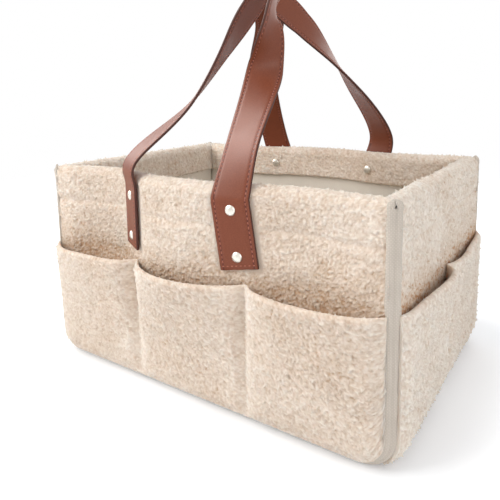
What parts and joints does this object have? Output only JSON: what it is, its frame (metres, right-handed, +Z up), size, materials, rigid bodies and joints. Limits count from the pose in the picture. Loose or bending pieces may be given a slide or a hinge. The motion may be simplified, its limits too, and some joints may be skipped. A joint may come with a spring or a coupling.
{
  "type": "nursery caddy",
  "caption": "Open rectangular fleece storage caddy with sewn-on pockets round its walls, piped edges and a pair of riveted strap handles that fold outwards.",
  "frame": {"origin": "middle of the underside, on the floor", "axes": "+X along the length to the right end, +Y to the back, +Z up"},
  "size_m": [0.3576, 0.288, 0.3493],
  "materials": {
    "fleece": "cream sherpa fleece",
    "canvas": "plain woven cotton",
    "felt": "pressed felt",
    "webbing": "woven webbing",
    "piping": "grey woven binding",
    "board": "sheet board",
    "leather": "semi-gloss faux leather",
    "nickel": "polished nickel plate"
  },
  "bodies": {
    "caddy": {"front_panel": "fleece", "front_stiffener": "felt", "front_lining": "canvas", "front_left_pocket_panel": "fleece", "front_middle_pocket_panel": "fleece", "front_right_pocket_panel": "fleece", "front_piping": "piping", "front_left_foot_inner_ply": "leather", "front_left_foot_outer_ply": "leather", "front_left_backing_patch": "webbing", "front_left_upper_rivet": "nickel", "front_left_upper_rivet_back": "nickel", "front_left_lower_rivet": "nickel", "front_left_lower_rivet_back": "nickel", "front_right_foot_inner_ply": "leather", "front_right_foot_outer_ply": "leather", "front_right_backing_patch": "webbing", "front_right_upper_rivet": "nickel", "front_right_upper_rivet_back": "nickel", "front_right_lower_rivet": "nickel", "front_right_lower_rivet_back": "nickel", "back_panel": "fleece", "back_stiffener": "felt", "back_lining": "canvas", "back_left_pocket_panel": "fleece", "back_middle_pocket_panel": "fleece", "back_right_pocket_panel": "fleece", "back_piping": "piping", "back_left_foot_inner_ply": "leather", "back_left_foot_outer_ply": "leather", "back_left_backing_patch": "webbing", "back_left_upper_rivet": "nickel", "back_left_upper_rivet_back": "nickel", "back_left_lower_rivet": "nickel", "back_left_lower_rivet_back": "nickel", "back_right_foot_inner_ply": "leather", "back_right_foot_outer_ply": "leather", "back_right_backing_patch": "webbing", "back_right_upper_rivet": "nickel", "back_right_upper_rivet_back": "nickel", "back_right_lower_rivet": "nickel", "back_right_lower_rivet_back": "nickel", "left_end_panel": "fleece", "left_stiffener": "felt", "left_lining": "canvas", "left_front_pocket_panel": "fleece", "left_back_pocket_panel": "fleece", "right_end_panel": "fleece", "right_stiffener": "felt", "right_lining": "canvas", "right_front_pocket_panel": "fleece", "right_back_pocket_panel": "fleece", "base_panel": "canvas", "base_board": "board", "base_lining": "canvas"},
    "front_handle": {"front_handle_inner_ply": "leather", "front_handle_outer_ply": "leather"},
    "back_handle": {"back_handle_inner_ply": "leather", "back_handle_outer_ply": "leather"}
  },
  "joints": [
    {"name": "front_handle_fold", "type": "hinge", "parent": "caddy", "child": "front_handle", "pos_m": [0, -0.1282, 0.181], "axis": [1, 0, 0], "range_deg": [0, 175]},
    {"name": "back_handle_fold", "type": "hinge", "parent": "caddy", "child": "back_handle", "pos_m": [0, 0.1262, 0.181], "axis": [-1, 0, 0], "range_deg": [0, 175]}
  ]
}
